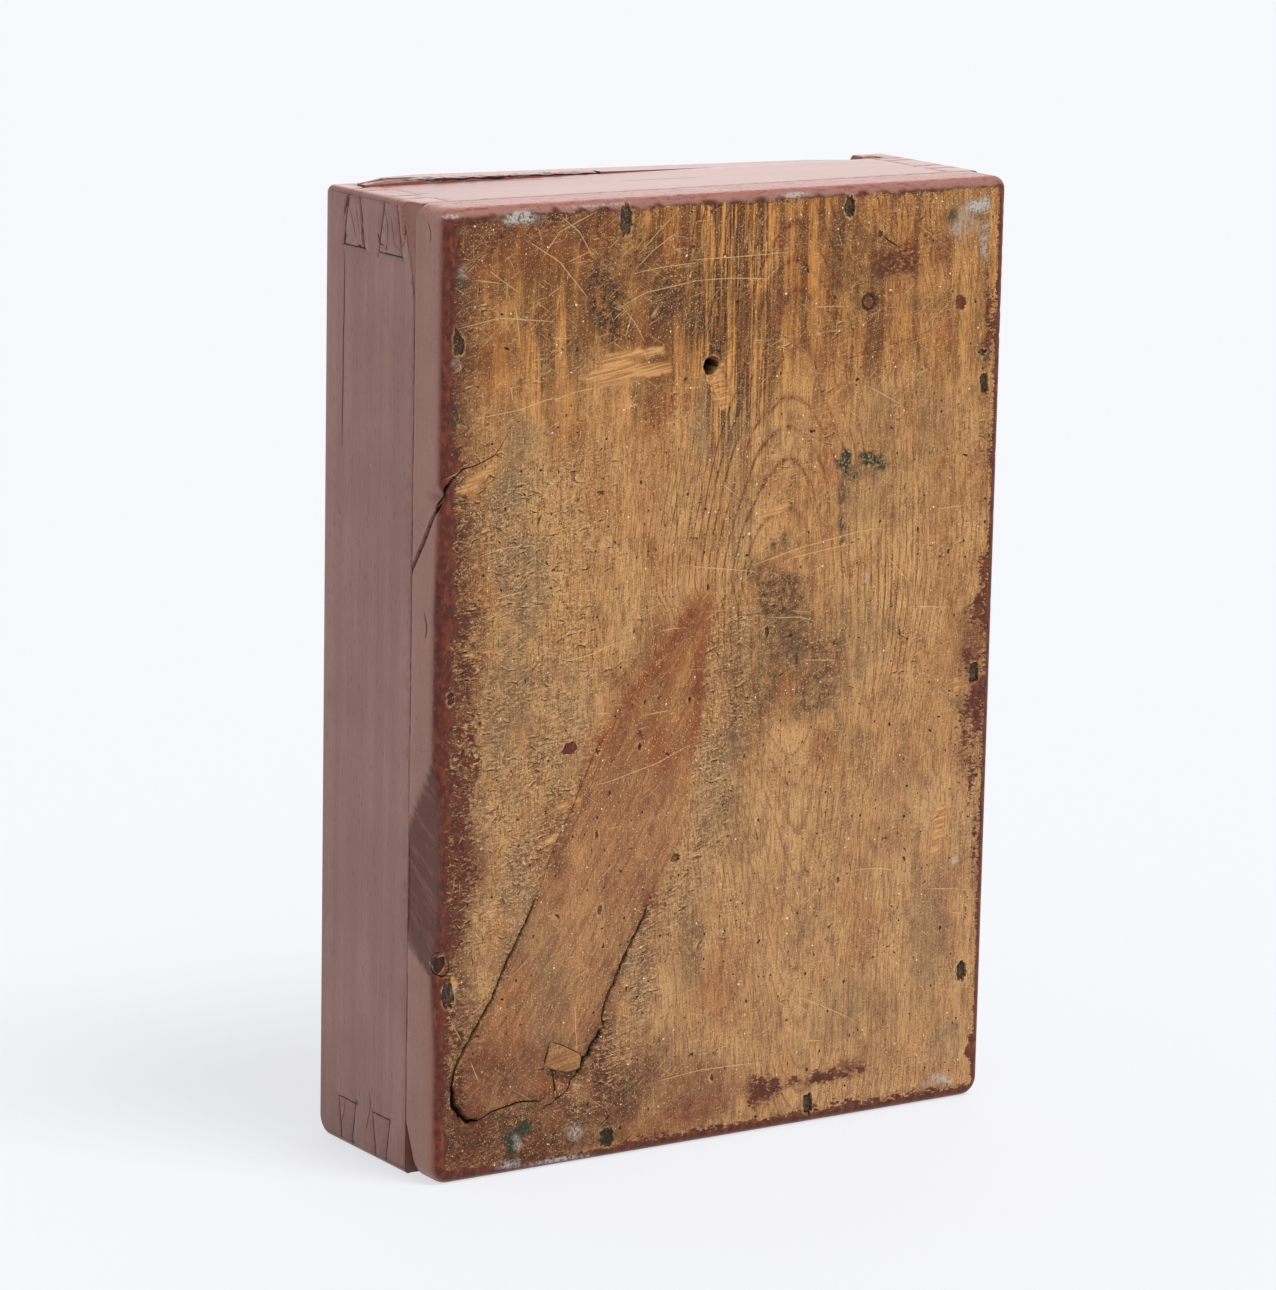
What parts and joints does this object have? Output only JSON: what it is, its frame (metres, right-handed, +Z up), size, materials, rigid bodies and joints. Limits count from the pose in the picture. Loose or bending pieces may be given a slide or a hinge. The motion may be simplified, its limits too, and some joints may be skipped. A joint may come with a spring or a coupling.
{
  "type": "sliding lid box",
  "caption": "Dovetailed pine box with a nailed-on bottom board and a bevelled lid that slides in grooves and lifts right off.",
  "frame": {"origin": "centre of the footprint of the box standing on its closed end", "axes": "+Z up the box towards the end where the lid enters, +Y from the bottom board to the lid, +X to the right when facing the bottom board"},
  "size_m": [0.2764, 0.0928, 0.4024],
  "materials": {
    "bare_pine": "old bare pine, scratched and stained, with worn red-brown paint at the edges",
    "painted_pine": "brushed red-brown oil paint with a dull sheen",
    "painted_lid": "brushed red-brown oil paint, worn at the arrises",
    "forged_iron": "rusted hand-forged iron"
  },
  "bodies": {
    "box": {"bottom_board": "bare_pine", "side_left": "painted_pine", "side_right": "painted_pine", "end_entry": "painted_pine", "end_closed": "painted_pine", "nails_entry_end": "forged_iron", "nails_closed_end": "forged_iron", "nails_left_side": "forged_iron", "nails_right_side": "forged_iron"},
    "lid": {"lid": "painted_lid"}
  },
  "joints": [
    {"name": "lid_slide", "type": "slide", "parent": "box", "child": "lid", "axis": [0, 0, 1], "range_m": [0, 0.4]}
  ]
}
